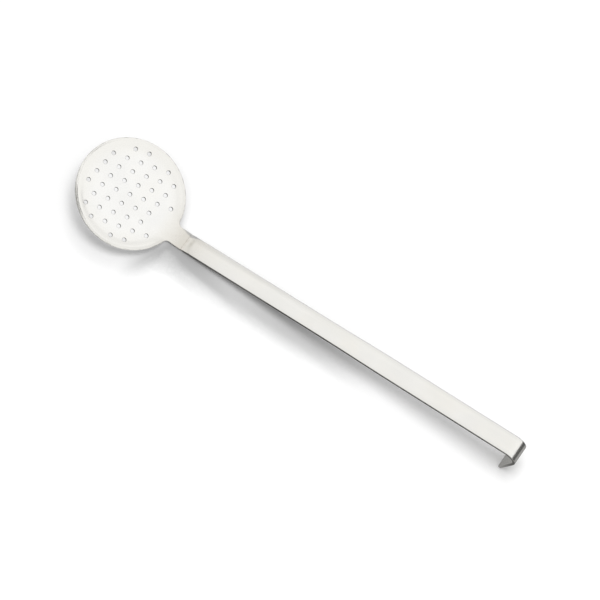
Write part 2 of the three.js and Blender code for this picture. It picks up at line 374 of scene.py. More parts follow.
def pressed(dish, flat):
    """Where a point of the flat blank lies once the dish is pressed and its neck bent"""
    u, v, below = flat.x, flat.y, -flat.z
    on_neck = neck_share(dish, u, v)
    top = lerp(rim_height(dish, math.hypot(u, v)), neck_height(dish, u), on_neck)
    slope = max(u - bend_start(dish), 0.0) * on_neck / dish.neck_bend
    return Vector((u + below * slope, v, top - below * math.sqrt(1 - slope ** 2)))


def hole_centres(dish):
    along_row = Vector((0.0, dish.pitch))
    next_row = Vector((dish.row, dish.pitch / 2))
    reach = math.ceil(2 * dish.field / min(dish.pitch, dish.row))
    turn = Matrix.Rotation(dish.turn, 2)
    centres = []
    for i in range(-reach, reach + 1):
        for j in range(-reach, reach + 1):
            at = turn @ (along_row * i + next_row * j)
            near_neck = at.x > dish.radius - dish.plain and abs(at.y) < dish.neck_width / 2
            if at.length < dish.field and not near_neck:
                centres.append(at)
    return centres


def dish_blank(dish):
    """The sheet before it is punched: a disc of rings with its neck drawn out, thickened and rounded."""
    outline = dish_outline(dish)
    shaded_sides = len(outline)
    clear_selection()
    bpy.ops.mesh.primitive_circle_add(vertices=shaded_sides, radius=dish.radius, fill_type="NOTHING")
    blank = bpy.context.object
    lip_share = (dish.radius - dish.lip_width - dish.floor_radius) / (dish.radius - dish.floor_radius)
    shares = spread(LIP_SHARE_STEPS, 1.0, lip_share)[1:] + spread(RISE_SHARE_STEPS, lip_share, 0.0)[1:]
    radii = [lerp(dish.floor_radius, dish.radius, t) for t in shares]
    radii += spread(FLOOR_STEPS, dish.floor_radius, 0.0)[1:-1]
    edit()
    last = dish.radius
    for radius in radii:
        k = radius / last
        bpy.ops.mesh.extrude_edges_move()
        bpy.ops.transform.resize(value=(k, k, 1), center_override=(0, 0, 0))
        last = radius
    bpy.ops.mesh.edge_face_add()
    bpy.ops.mesh.poke()
    leave_edit()

    def drawn(point):
        r = math.hypot(point.x, point.y)
        if r < 1e-7:
            return point
        ray = outline[round(math.atan2(point.y, point.x) / (2 * math.pi) * shaded_sides) % shaded_sides]
        reach = r
        if r > dish.floor_radius:
            t = (r - dish.floor_radius) / (dish.radius - dish.floor_radius)
            reach = lerp(dish.floor_radius, ray.length, t)
        flat = ray.normalized() * reach
        return Vector((flat.x, flat.y, 0.0))

    form(blank, drawn)
    outward(blank)
    thick = blank.modifiers.new("Sheet", "SOLIDIFY")
    thick.thickness = dish.sheet
    thick.offset = -1.0
    rounded = blank.modifiers.new("Rim", "BEVEL")
    rounded.width = dish.rim_round
    rounded.segments = 3
    rounded.limit_method = "ANGLE"
    rounded.angle_limit = math.radians(60)
    rounded.use_clamp_overlap = False
    apply_modifiers(blank)
    return blank


PUNCH_SIDES = 32
ROLL_STEPS = 5
PUNCH_CHAMFER = 0.12 * MM
PUNCH_OVER = 0.02 * MM
PUNCH_CLEAR = 1.0 * MM

# Where the dish gets the sheared colour, which is partly the sheared edge and partly painted shade: in
# its holes and just round them on the rolled edges, and on its rim, where the surface turns to the side,
# but not on the neck's end, which is in the weld
HOLE_EDGE = 0.03 * MM
HOLE_EDGE_FADE = 0.28 * MM
SIDE_NORMAL = 0.6
NECK_END = 1.5 * MM
NECK_END_FADE = 1.0 * MM


def punch_profile(dish):
    """Radius and height of a punch from its tip up, with the sheet's top at height 0"""
    hole = dish.hole / 2
    roll = dish.hole_roll
    bottom = -dish.sheet
    profile = [(hole + PUNCH_CHAMFER, bottom - PUNCH_CLEAR), (hole + PUNCH_CHAMFER, bottom),
               (hole, bottom + PUNCH_CHAMFER)]
    for a in spread(ROLL_STEPS, 0.0, math.pi / 2):
        profile.append((hole + roll * (1 - math.cos(a)), -roll + (roll + PUNCH_OVER) * math.sin(a)))
    profile.append((hole + roll, PUNCH_CLEAR))
    return profile


def punches(dish):
    """All the punches as one object: each cuts a hole, rolls its upper edge and breaks its lower one."""
    profile = punch_profile(dish)
    clear_selection()
    radius, height = profile[0]
    bpy.ops.mesh.primitive_circle_add(vertices=PUNCH_SIDES, radius=radius, fill_type="NGON",
                                      location=(0, 0, height))
    punch = bpy.context.object
    bpy.ops.object.transform_apply(location=True, rotation=False, scale=False)
    edit()
    for wider, higher in profile[1:]:
        bpy.ops.mesh.extrude_region_move(TRANSFORM_OT_translate={"value": (0, 0, higher - height)})
        k = wider / radius
        bpy.ops.transform.resize(value=(k, k, 1), center_override=(0, 0, 0))
        radius, height = wider, higher
    leave_edit()
    outward(punch)
    copies = [punch]
    for at in hole_centres(dish):
        copy = punch.copy()
        copy.data = punch.data.copy()
        copy.location = (at.x, at.y, 0.0)
        bpy.context.collection.objects.link(copy)
        copies.append(copy)
    bpy.data.objects.remove(punch)
    clear_selection()
    for copy in copies[1:]:
        copy.select_set(True)
    bpy.context.view_layer.objects.active = copies[1]
    bpy.ops.object.join()
    joined = bpy.context.object
    bpy.ops.object.transform_apply(location=True, rotation=True, scale=True)
    return joined


class SKIMMER_OT_dish(bpy.types.Operator):
    """Model the perforated dish: cut the blank, punch its holes and press it into shape"""
    bl_idname = "skimmer.dish"
    bl_label = "Perforated dish"

    def execute(self, context):
        dish = context.scene.skimmer_dish
        blank = dish_blank(dish)
        tools = punches(dish)
        cut = blank.modifiers.new("Holes", "BOOLEAN")
        cut.operation = "DIFFERENCE"
        cut.solver = "EXACT"
        cut.object = tools
        apply_modifiers(blank)
        bpy.data.objects.remove(tools)
        centres = hole_centres(dish)

        def sheared_and_shade_share(vertex):
            flat = vertex.co.xy
            if flat.length < dish.radius - dish.lip_width and flat.x < bend_start(dish):
                near = min((flat - centre).length for centre in centres)
                return 1 - smooth((near - dish.hole / 2 - HOLE_EDGE) / HOLE_EDGE_FADE)
            at_weld = smooth((flat.x - dish.neck_reach + NECK_END) / NECK_END_FADE)
            return (1 - smooth(abs(vertex.normal.z) / SIDE_NORMAL)) * (1 - at_weld)

        mark_sheared_and_shade(blank, sheared_and_shade_share)
        form(blank, lambda point: pressed(dish, point))
        outward(blank)
        finish_piece(blank, "skimmer_dish", dish_place(), dish_material(), "perforated_dish")
        return {"FINISHED"}


# The handle

WIDTH_CUTS = 14
RAMP_CUTS = 14
CROWN_CUTS = 24
WIDE_CUTS = 10
HOOK_CUTS = 28

# Where the handle gets the sheared colour, which is partly the sheared edge and partly painted shade on
# its rounded
# edges: on its two sides, but not on the flap
SIDE_EDGE = 0.3 * MM
SIDE_EDGE_FADE = 0.2 * MM
FLAP_FADE = 4 * MM


def edge_drop(handle, x):
    return handle.crown * max(1 - x / handle.crown_length, 0.0) ** handle.fade_power


def half_width(handle, x):
    t = smooth((x - handle.widening) / (handle.crown_length - handle.widening))
    return lerp(handle.root_width, handle.width, t) / 2


def root_start():
    weld = bpy.context.scene.skimmer_weld
    return weld.width / 2 + weld.gap


def crown_top(handle, x, across):
    """Height of the handle's top at a share of its half width, from -1 to 1"""
    risen = -handle.crown * (1 - smooth((x - root_start()) / handle.crown_ramp))
    flank = max((abs(across) - handle.crown_flat) / (1 - handle.crown_flat), 0.0) ** handle.flank_power
    return lerp(risen, -edge_drop(handle, x), flank)


def crowned(handle, flat):
    """A point of the flat blank once its width is trimmed and its crown pressed"""
    across = flat.y / (handle.width / 2)
    y = flat.y * half_width(handle, flat.x) / (handle.width / 2)
    return Vector((flat.x, y, flat.z + crown_top(handle, flat.x, max(min(across, 1.0), -1.0))))


def hooked(handle, straight):
    """A point of the straight strip once its end is bent over"""
    past = straight.x - handle.length
    if past <= 0:
        return straight
    turn = min(past / handle.hook_radius, handle.hook_turn)
    reach = handle.hook_radius + straight.z
    beyond = past - turn * handle.hook_radius
    x = handle.length + reach * math.sin(turn) + beyond * math.cos(turn)
    z = -handle.hook_radius + reach * math.cos(turn) - beyond * math.sin(turn)
    return Vector((x, straight.y, z))


def cut_across(place, normal):
    bpy.ops.mesh.select_all(action="SELECT")
    bpy.ops.mesh.bisect(plane_co=place, plane_no=normal)


class SKIMMER_OT_handle(bpy.types.Operator):
    """Model the handle: cut the strip, round its edges, press its crown and bend its hook"""
    bl_idname = "skimmer.handle"
    bl_label = "Strip handle"

    def execute(self, context):
        handle = context.scene.skimmer_handle
        start = root_start()
        bend = handle.hook_radius * handle.hook_turn
        end = handle.length + bend + handle.flap
        clear_selection()
        middle = ((start + end) / 2, 0.0, -handle.sheet / 2)
        bpy.ops.mesh.primitive_cube_add(size=1.0, location=middle)
        strip = context.object
        strip.scale = (end - start, handle.width, handle.sheet)
        bpy.ops.object.transform_apply(location=True, rotation=True, scale=True)
        edit()
        select_edges(strip, lambda a, b: min(a.x, b.x) > end - MM and abs(a.z - b.z) > MM)
        bpy.ops.mesh.bevel(offset=handle.corner, offset_type="OFFSET", segments=8, affect="EDGES")
        select_edges(strip, lambda a, b: max(a.x, b.x) > start + MM and abs(a.z - b.z) < MM / 10)
        bpy.ops.mesh.bevel(offset=handle.edge_round, offset_type="OFFSET", segments=4, affect="EDGES")
        for x in (spread(RAMP_CUTS, start, start + handle.crown_ramp)[1:]
                  + spread(CROWN_CUTS, start + handle.crown_ramp, handle.widening)[1:]
                  + spread(WIDE_CUTS, handle.widening, handle.crown_length)[1:]
                  + spread(WIDE_CUTS, handle.crown_length, handle.length)[1:]
                  + spread(HOOK_CUTS, handle.length, handle.length + bend)[1:]):
            cut_across((x, 0, 0), (1, 0, 0))
        inner = handle.width / 2 - handle.edge_round
        for y in spread(WIDTH_CUTS, -inner, inner)[1:-1]:
            cut_across((0, y, 0), (0, 1, 0))
        leave_edit()

        def sheared_and_shade_share(vertex):
            from_side = handle.width / 2 - abs(vertex.co.y)
            from_flap = handle.length + bend - vertex.co.x
            on_side = 1 - smooth((from_side - SIDE_EDGE) / SIDE_EDGE_FADE)
            return on_side * smooth(from_flap / FLAP_FADE + 1)

        mark_sheared_and_shade(strip, sheared_and_shade_share)
        form(strip, lambda point: hooked(handle, crowned(handle, point)))
        outward(strip)
        finish_piece(strip, "skimmer_handle", handle_place(), handle_material(), "handle_strip")
        return {"FINISHED"}


# The weld

BEAD_CUTS = 10
BEAD_RIPPLES = 9
CUTS_PER_RIPPLE = 6
RIPPLE_LEVEL = 0.88
RIPPLE_HEIGHT = 0.06
BEAD_OVERLAP = 0.1 * MM
BEAD_ROUND = 0.12 * MM


class SKIMMER_OT_weld(bpy.types.Operator):
    """Model the ground bead that fuses the neck to the handle"""
    bl_idname = "skimmer.weld"
    bl_label = "Neck weld"

    def execute(self, context):
        weld = context.scene.skimmer_weld
        handle = context.scene.skimmer_handle
        half = weld.width / 2 + weld.gap + BEAD_OVERLAP
        long = handle.root_width / 2 - handle.edge_round / 2
        low = -handle.crown - handle.sheet
        clear_selection()
        middle = (0.0, 0.0, low + handle.sheet / 2)
        bpy.ops.mesh.primitive_cube_add(size=1.0, location=middle)
        bead = context.object
        bead.scale = (2 * half, 2 * long, handle.sheet)
        bpy.ops.object.transform_apply(location=True, rotation=True, scale=True)
        edit()
        for x in spread(BEAD_CUTS, -half, half)[1:-1]:
            cut_across((x, 0, 0), (1, 0, 0))
        for y in spread(CUTS_PER_RIPPLE * BEAD_RIPPLES, -long, long)[1:-1]:
            cut_across((0, y, 0), (0, 1, 0))
        leave_edit()

        def swollen(point):
            side = 1.0 if point.z > middle[2] else -1.0
            across = (1 - (point.x / half) ** 2) ** 2
            ends = 1 - abs(point.y / long) ** 6
            wave = 2 * math.pi * BEAD_RIPPLES * point.y / (2 * long) + 2 * across
            ripple = RIPPLE_LEVEL + RIPPLE_HEIGHT * math.cos(wave)
            rise = side * weld.proud * across * ends * ripple
            return Vector((point.x, point.y, point.z + rise))

        form(bead, swollen)
        rounded = bead.modifiers.new("Edges", "BEVEL")
        rounded.width = BEAD_ROUND
        rounded.segments = 2
        rounded.limit_method = "ANGLE"
        rounded.angle_limit = math.radians(50)
        apply_modifiers(bead)
        outward(bead)
        finish_piece(bead, "skimmer_weld", handle_place(), weld_material(), "neck_weld",
                     sharp=50)
        return {"FINISHED"}


# Finishes. Effects that more than one steel shows are node groups.

def add(tree, kind, settings=None, inputs=None):
    """A node with its settings, and its inputs by name or number: a value or another node's output"""
    made = tree.nodes.new(kind)
    for name, value in (settings or {}).items():
        setattr(made, name, value)
    for name, value in (inputs or {}).items():
        if isinstance(value, bpy.types.NodeSocket):
            tree.links.new(value, made.inputs[name])
        else:
            made.inputs[name].default_value = value
    return made


def maths(tree, operation, first, second=0.0):
    return add(tree, "ShaderNodeMath", {"operation": operation}, {0: first, 1: second}).outputs[0]


def vector_maths(tree, operation, first, second=(0.0, 0.0, 0.0)):
    return add(tree, "ShaderNodeVectorMath", {"operation": operation}, {0: first, 1: second}).outputs


def combine(tree, x, y, z):
    return add(tree, "ShaderNodeCombineXYZ", inputs={0: x, 1: y, 2: z}).outputs[0]


def xyz(tree, vector):
    return add(tree, "ShaderNodeSeparateXYZ", inputs={0: vector}).outputs


def remap(tree, value, low, high, new_low=0.0, new_high=1.0):
    """value from low..high to new_low..new_high, smoothly and clamped"""
    made = add(tree, "ShaderNodeMapRange", {"interpolation_type": "SMOOTHSTEP"},
               {"Value": value, "From Min": low, "From Max": high, "To Min": new_low, "To Max": new_high})
    return made.outputs["Result"]


def blend(tree, factor, first, second):
    """A mix of two colours, whose sockets on the node follow those of its other types"""
    made = add(tree, "ShaderNodeMix", {"data_type": "RGBA"}, {0: factor, 6: first, 7: second})
    return made.outputs[2]


def noise(tree, vector, scale, **more):
    made = add(tree, "ShaderNodeTexNoise", inputs={"Vector": vector, "Scale": scale, **more})
    return made.outputs["Fac"]


def new_group(name, outputs, **inputs):
    """A node group that reads a Vector and the inputs given with their defaults, and puts out masks"""
    group = bpy.data.node_groups.new(name, "ShaderNodeTree")
    group.interface.new_socket("Vector", in_out="INPUT", socket_type="NodeSocketVector")
    for label, default in inputs.items():
        kind = "NodeSocketFloat" if isinstance(default, float) else "NodeSocketVector"
        group.interface.new_socket(label, in_out="INPUT", socket_type=kind).default_value = default
    for label in outputs:
        group.interface.new_socket(label, in_out="OUTPUT", socket_type="NodeSocketFloat")
    return group, group.nodes.new("NodeGroupInput").outputs, group.nodes.new("NodeGroupOutput").inputs


COARSER = 0.2
FINE_SHARE = 0.6


def brushing_group():
    """Fine parallel brushing along X of the vector it is given: a tone and a height"""
    group, given, made = new_group("Brushing", ("Tone", "Height"), Fineness=2600.0, Stretch=0.02)
    drawn_out = combine(group, given["Stretch"], 1.0, 1.0)
    along = vector_maths(group, "MULTIPLY", given["Vector"], drawn_out)["Vector"]
    fine = noise(group, along, given["Fineness"], Detail=4.0, Roughness=0.6)
    scale = maths(group, "MULTIPLY", given["Fineness"], COARSER)
    coarse = noise(group, along, scale, Detail=3.0, Roughness=0.55)
    height = maths(group, "ADD", maths(group, "MULTIPLY", fine, FINE_SHARE),
                   maths(group, "MULTIPLY", coarse, 1 - FINE_SHARE))
    group.links.new(height, made["Height"])
    group.links.new(remap(group, height, 0.3, 0.7), made["Tone"])
    return group


ELSEWHERE = (0.37, 0.11, 0.29)


def cloud_group():
    """Soft uneven patches left by polishing and use: a mask, and a warm or cool leaning"""
    group, given, made = new_group("Patches", ("Mask", "Lean"), Scale=60.0)
    patches = noise(group, given["Vector"], given["Scale"], Detail=4.0, Roughness=0.5, Distortion=0.4)
    moved = vector_maths(group, "ADD", given["Vector"], ELSEWHERE)["Vector"]
    leaning = noise(group, moved, maths(group, "MULTIPLY", given["Scale"], 0.8), Detail=2.0)
    group.links.new(remap(group, patches, 0.35, 0.65), made["Mask"])
    group.links.new(remap(group, leaning, 0.35, 0.65), made["Lean"])
    return group


SCRATCH_TURNS = (0.5, -0.35, 1.3)
SCRATCH_STRETCH = 0.06
SCRATCH_WIDTH = 0.025


def scratch_group():
    """Sparse hair scratches in three directions: a mask"""
    group, given, made = new_group("Scratches", ("Mask",), Scale=120.0, Density=0.5)
    masks = []
    for turn in SCRATCH_TURNS:
        along = add(group, "ShaderNodeMapping", {"vector_type": "POINT"},
                    {"Vector": given["Vector"], "Rotation": (0.0, 0.0, turn),
                     "Scale": (SCRATCH_STRETCH, 1.0, 1.0)}).outputs[0]
        lines = add(group, "ShaderNodeTexVoronoi", {"feature": "DISTANCE_TO_EDGE"},
                    {"Vector": along, "Scale": given["Scale"]})
        hairs = remap(group, lines.outputs["Distance"], 0.0, SCRATCH_WIDTH, 1.0, 0.0)
        patch = noise(group, along, maths(group, "MULTIPLY", given["Scale"], 0.7))
        masks.append(maths(group, "MULTIPLY", hairs, remap(group, patch, 0.5, 0.62)))
    joined = maths(group, "MAXIMUM", maths(group, "MAXIMUM", masks[0], masks[1]), masks[2])
    group.links.new(maths(group, "MULTIPLY", joined, given["Density"]), made["Mask"])
    return group


# The heat tint has a ragged outline. The stain along the sheet's far edge starts STAIN_START beyond its
# middle line, and further out away from the bead, and it fades over STAIN_END along the sheet.
RAGGED = 6 * MM
STAIN_START = 5 * MM
STAIN_SLANT = 0.25
STAIN_FADE = 1.6 * MM
STAIN_END = (6 * MM, 14 * MM)


def heat_group():
    """Heat tint of the weld: masks at the bead, wide round it and along the sheet's far edge beside it"""
    group, given, made = new_group("Heat tint", ("Near", "Far", "Edge"), Seam=(0.0, 0.0, 0.0),
                                   Reach=12 * MM)
    away = xyz(group, vector_maths(group, "SUBTRACT", given["Vector"], given["Seam"])["Vector"])
    wobble = noise(group, given["Vector"], 220.0, Detail=3.0)
    ragged = maths(group, "MULTIPLY", maths(group, "SUBTRACT", wobble, 0.5), RAGGED)
    distance = maths(group, "ADD", maths(group, "ABSOLUTE", away["X"]), ragged)
    ratio = maths(group, "DIVIDE", distance, given["Reach"])
    start = maths(group, "ADD", maths(group, "MULTIPLY", distance, STAIN_SLANT), STAIN_START)
    outside = maths(group, "SUBTRACT", away["Y"], start)
    stain = maths(group, "MULTIPLY", remap(group, outside, 0.0, STAIN_FADE),
                  remap(group, distance, *STAIN_END, 1.0, 0.0))
    group.links.new(stain, made["Edge"])
    group.links.new(remap(group, ratio, 0.0, 0.45, 1.0, 0.0), made["Near"])
    group.links.new(remap(group, ratio, 0.1, 1.0, 1.0, 0.0), made["Far"])
    return group


EFFECTS = {}


def effect(tree, build, vector, **values):
    """A shared effect with a steel's own values. Its group is built the first time that one shows it."""
    if build not in EFFECTS:
        EFFECTS[build] = build()
    made = add(tree, "ShaderNodeGroup", {"node_tree": EFFECTS[build]}, {"Vector": vector, **values})
    return made.outputs


def rgba(values):
    return (values[0], values[1], values[2], 1.0)


def toned(colour, *channels):
    return [value * k for value, k in zip(colour, channels)]


def layered(tree, base, layers):
    """A colour with others laid over it, each through a mask and at a strength"""
    shown = rgba(base)
    for mask, strength, over in layers:
        shown = blend(tree, maths(tree, "MULTIPLY", mask, strength), shown, rgba(over))
    return shown


def roughened(tree, base, *more):
    """A roughness with masks added to it, each times its weight"""
    for mask, weight in more:
        base = maths(tree, "ADD", base, maths(tree, "MULTIPLY", mask, weight))
    return base


def blank_material(name):
    """A material whose node tree is empty"""
    material = bpy.data.materials.new(name)
    material.use_nodes = True
    material.node_tree.nodes.clear()
    return material, material.node_tree


def own_coordinates(tree, place):
    """Object coordinates seen in a piece's own frame"""
    inverse = place.inverted()
    turn = inverse.to_euler()
    at = inverse.to_translation()
    coordinates = add(tree, "ShaderNodeTexCoord")
    moved = add(tree, "ShaderNodeMapping", {"vector_type": "POINT"},
                {"Vector": coordinates.outputs["Object"], "Location": tuple(at), "Rotation": tuple(turn)})
    return moved.outputs[0]


def steel(name, base, roughness, edge_tint):
    """A steel material with its Principled shader"""
    material, tree = blank_material(name)
    shader = add(tree, "ShaderNodeBsdfPrincipled",
                 inputs={"Metallic": 1.0, "Roughness": roughness, "Base Color": rgba(base),
                         "Specular Tint": rgba((edge_tint,) * 3)})
    add(tree, "ShaderNodeOutputMaterial", inputs={"Surface": shader.outputs[0]})
    material.diffuse_color = rgba(base)
    return material, tree, shader.inputs


def sheared_and_shade(tree):
    """1 on the sheared edges of a sheet and on the painted shade round them, from the attribute that its
    modelling left
    """
    return add(tree, "ShaderNodeAttribute", {"attribute_name": "sheared_and_shade"}).outputs["Fac"]


def bump(tree, height, strength, distance, before=None):
    inputs = {"Height": height, "Strength": strength, "Distance": distance}
    if before is not None:
        inputs["Normal"] = before
    return add(tree, "ShaderNodeBump", inputs=inputs).outputs[0]


HEAT_STAIN = 0.6
SHALLOW = 0.02 * MM
BEAD_RELIEF = 0.03 * MM
RING_RADIUS = 20 * MM


def dish_material():
    """Polished steel with round buffing marks, faint patches, straw heat tint at the neck, painted shade
    towards the rim, and the sheared colour with its painted shade
    """
    colours = bpy.context.scene.skimmer_colours
    dish = bpy.context.scene.skimmer_dish
    material, tree, surface = steel("dish_polished_steel", colours.dish, roughness=0.2, edge_tint=0.8)
    own = own_coordinates(tree, dish_place())
    patches = effect(tree, cloud_group, own, Scale=45.0)
    scratches = effect(tree, scratch_group, own, Scale=140.0, Density=0.15)
    heat = effect(tree, heat_group, own, Seam=tuple(seam_point(dish)), Reach=30 * MM)
    parts = xyz(tree, own)
    radius = vector_maths(tree, "LENGTH", combine(tree, parts["X"], parts["Y"], 0.0))["Value"]
    turn = maths(tree, "ARCTAN2", parts["Y"], parts["X"])
    rings = combine(tree, maths(tree, "MULTIPLY", turn, RING_RADIUS), radius, 0.0)
    buffing = effect(tree, brushing_group, rings, Fineness=1500.0, Stretch=0.5)
    # Painted shade: the dish darkens towards its rim, where the rising surface mirrors less light
    painted_rim_shade = remap(tree, radius, 0.6 * dish.radius, 0.94 * dish.radius)
    tree.links.new(layered(tree, colours.dish, (
        (patches["Lean"], 0.5, toned(colours.dish, 0.985, 0.975, 0.95)),
        (patches["Mask"], 0.5, toned(colours.dish, 0.95, 0.95, 0.95)),
        (painted_rim_shade, 1.0, toned(colours.dish, 0.96, 0.952, 0.93)),
        (heat["Far"], 0.42, colours.straw),
        (heat["Near"], 0.12, colours.straw),
        (heat["Edge"], HEAT_STAIN, colours.oxide),
        # Sheared steel, and painted shade on the rolled hole edges and the rim
        (sheared_and_shade(tree), 1.0, colours.cut),
    )), surface["Base Color"])
    polish = remap(tree, patches["Mask"], 0.0, 1.0, 0.16, 0.24)
    rough = roughened(tree, polish, (scratches["Mask"], 0.2), (heat["Near"], 0.18))
    tree.links.new(rough, surface["Roughness"])
    fine = bump(tree, buffing["Height"], 0.12, SHALLOW)
    tree.links.new(bump(tree, scratches["Mask"], 0.25, -SHALLOW, fine), surface["Normal"])
    return material


def handle_material():
    """Satin steel brushed lengthwise, with heat tint near the weld, painted shade towards its sides and
    on its crowned far flank, and the sheared colour with its painted shade on its edges
    """
    colours = bpy.context.scene.skimmer_colours
    handle = bpy.context.scene.skimmer_handle
    material, tree, surface = steel("handle_satin_steel", colours.handle, roughness=0.24, edge_tint=0.7)
    own = own_coordinates(tree, handle_place())
    brushing = effect(tree, brushing_group, own, Fineness=2200.0, Stretch=0.03)
    patches = effect(tree, cloud_group, own, Scale=38.0)
    scratches = effect(tree, scratch_group, own, Scale=150.0, Density=0.2)
    heat = effect(tree, heat_group, own, Seam=(0.0, 0.0, 0.0), Reach=45 * MM)
    parts = xyz(tree, own)
    # Painted shade: the strip darkens towards both sides, and on its far flank where the crown is pressed
    shaded_sides = remap(tree, maths(tree, "ABSOLUTE", parts["Y"]), 0.25 * handle.width, 0.5 * handle.width)
    flank = remap(tree, parts["Y"], 0.12 * handle.width, 0.4 * handle.width)
    crown = remap(tree, parts["X"], 0.1 * handle.crown_length, handle.crown_length, 1.0, 0.0)
    # Sheared edges, with painted shade on their rounding
    cut = sheared_and_shade(tree)
    tree.links.new(layered(tree, colours.handle, (
        (patches["Lean"], 0.6, toned(colours.handle, 0.98, 0.965, 0.935)),
        (patches["Mask"], 0.5, toned(colours.handle, 0.94, 0.94, 0.94)),
        (brushing["Tone"], 0.25, toned(colours.handle, 0.9, 0.9, 0.9)),
        (shaded_sides, 0.6, toned(colours.handle, 0.88, 0.88, 0.88)),
        (maths(tree, "MULTIPLY", flank, crown), 0.6, toned(colours.handle, 0.84, 0.84, 0.84)),
        (heat["Far"], 0.25, colours.straw),
        (heat["Near"], 0.12, colours.straw),
        (heat["Edge"], HEAT_STAIN, colours.oxide),
        (cut, 1.0, colours.cut),
    )), surface["Base Color"])
    satin = remap(tree, brushing["Tone"], 0.0, 1.0, 0.17, 0.25)
    rough = roughened(tree, satin, (scratches["Mask"], 0.15), (cut, -0.05), (heat["Near"], 0.2))
    tree.links.new(rough, surface["Roughness"])
    fine = bump(tree, brushing["Height"], 0.15, SHALLOW)
    tree.links.new(bump(tree, scratches["Mask"], 0.3, -SHALLOW, fine), surface["Normal"])
    return material


def weld_material():
    """Ground weld metal, duller and browner than the steel that it joins"""
    colours = bpy.context.scene.skimmer_colours
    material, tree, surface = steel("weld_ground_steel", colours.weld, roughness=0.34, edge_tint=0.6)
    own = own_coordinates(tree, handle_place())
    patches = effect(tree, cloud_group, own, Scale=400.0)
    grinding = effect(tree, brushing_group, own, Fineness=3000.0, Stretch=0.1)
    heat = effect(tree, heat_group, own, Seam=(0.0, 0.0, 0.0))
    tree.links.new(layered(tree, colours.weld, (
        (patches["Mask"], 0.3, colours.straw),
        (heat["Edge"], HEAT_STAIN, colours.oxide),
    )), surface["Base Color"])
    tree.links.new(remap(tree, grinding["Tone"], 0.0, 1.0, 0.36, 0.48), surface["Roughness"])
    tree.links.new(bump(tree, grinding["Height"], 0.3, BEAD_RELIEF), surface["Normal"])
    return material


# The stage

WHITE = (1.0, 1.0, 1.0, 1.0)
CAMERA_TARGET = Vector((-6.83 * MM, 13.65 * MM, 0.0))

# The contact shade on the table falls where the object stands in the direction SHADE_FROM. Along X it is
# faint by the dish, full at the neck, weaker by the handle and gone where that stands high.
SHADE_FROM = (0.276, 0.961, -0.018)
SHADE_SAMPLES = 32
DISH_SHADE = 0.16
DISH_TO_NECK = (-155 * MM, -125 * MM)
HANDLE_SHADE = 0.70
NECK_TO_HANDLE = (-120 * MM, -40 * MM)
LOW_TO_HIGH = (50 * MM, 120 * MM)

# Where the object hides much of the table's view, the shade is relieved again, but not by the dish
RELIEF = 0.38
RELIEF_ONSET = (0.85, 0.55)
RELIEF_SPAN = (-100 * MM, -50 * MM)

# The patch of table that is seen through the holes glows. It fades between the distances of LIT_EDGE.
UNDER_DISH = (-178 * MM, 5 * MM, 0.0)
LIT_EDGE = (36 * MM, 56 * MM)
LIT = (0.92, 0.92, 0.92, 1.0)

# What the room loses of its white, as a share, where only the steel shows it, and where its dark side is
SIDE_LOSS = 0.02
DISH_END_LOSS = 0.04
BAND_LOSS = 0.05
HORIZON_LOSS = 0.16
DARK_SIDE_LOSS = 0.93
DARK_SIDE = (-0.423, -0.906, 0.0)


def seen(tree):
    """Light Path, and 1 for rays from the camera and for those that metal or glass sends on from there"""
    path = add(tree, "ShaderNodeLightPath").outputs
    mirrored = maths(tree, "MAXIMUM", path["Is Glossy Ray"], path["Is Transmission Ray"])
    direct = maths(tree, "LESS_THAN", path["Diffuse Depth"], 0.5)
    return path, maths(tree, "MAXIMUM", path["Is Camera Ray"], maths(tree, "MULTIPLY", mirrored, direct))


def contact_shade(tree, stage, place):
    """How much darker the table is close to the object, from what the object hides of its view"""
    along = xyz(tree, place)["X"]
    from_dish = remap(tree, along, *DISH_TO_NECK, DISH_SHADE, 1.0)
    to_handle = remap(tree, along, *NECK_TO_HANDLE, 1.0, HANDLE_SHADE)
    low = remap(tree, along, *LOW_TO_HIGH, 1.0, 0.0)
    strength = maths(tree, "MULTIPLY", from_dish, maths(tree, "MULTIPLY", to_handle, low))
    view = add(tree, "ShaderNodeAmbientOcclusion", {"samples": SHADE_SAMPLES},
               {"Distance": stage.shade_reach, "Normal": combine(tree, *SHADE_FROM)}).outputs["AO"]
    dark = remap(tree, view, 1.0, 1.0 - stage.shade_onset, 0.0, stage.shade)
    relief = maths(tree, "MULTIPLY", remap(tree, view, *RELIEF_ONSET, 0.0, RELIEF),
                   remap(tree, along, *RELIEF_SPAN))
    return maths(tree, "MULTIPLY", maths(tree, "SUBTRACT", dark, relief), strength)


def floor_material(stage):
    """A pale matt table, lifted to white where it is seen, which keeps the object's shadow, darkened
    further by a painted contact shade close to the object, and lit with painted light where the camera
    sees the table below the dish
    """
    material, tree = blank_material("pale_table")
    path, visible = seen(tree)
    place = add(tree, "ShaderNodeTexCoord").outputs["Object"]
    lifted = blend(tree, visible, rgba(stage.floor), WHITE)
    left = maths(tree, "SUBTRACT", 1.0, contact_shade(tree, stage, place))
    shaded = add(tree, "ShaderNodeVectorMath", {"operation": "SCALE"}, {0: lifted, "Scale": left})
    matt = add(tree, "ShaderNodeBsdfDiffuse", inputs={"Color": shaded.outputs[0]})
    # Painted light: the table below the dish glows for the camera, in place of the dish's shadow, so the
    # holes look pale
    lit = add(tree, "ShaderNodeEmission", inputs={"Color": LIT, "Strength": 1.0})
    away = vector_maths(tree, "DISTANCE", place, UNDER_DISH)["Value"]
    under = maths(tree, "MULTIPLY", remap(tree, away, *LIT_EDGE, 1.0, 0.0), path["Is Camera Ray"])
    both = add(tree, "ShaderNodeMixShader", inputs={0: under, 1: matt.outputs[0], 2: lit.outputs[0]})
    add(tree, "ShaderNodeOutputMaterial", inputs={"Surface": both.outputs[0]})
    return material


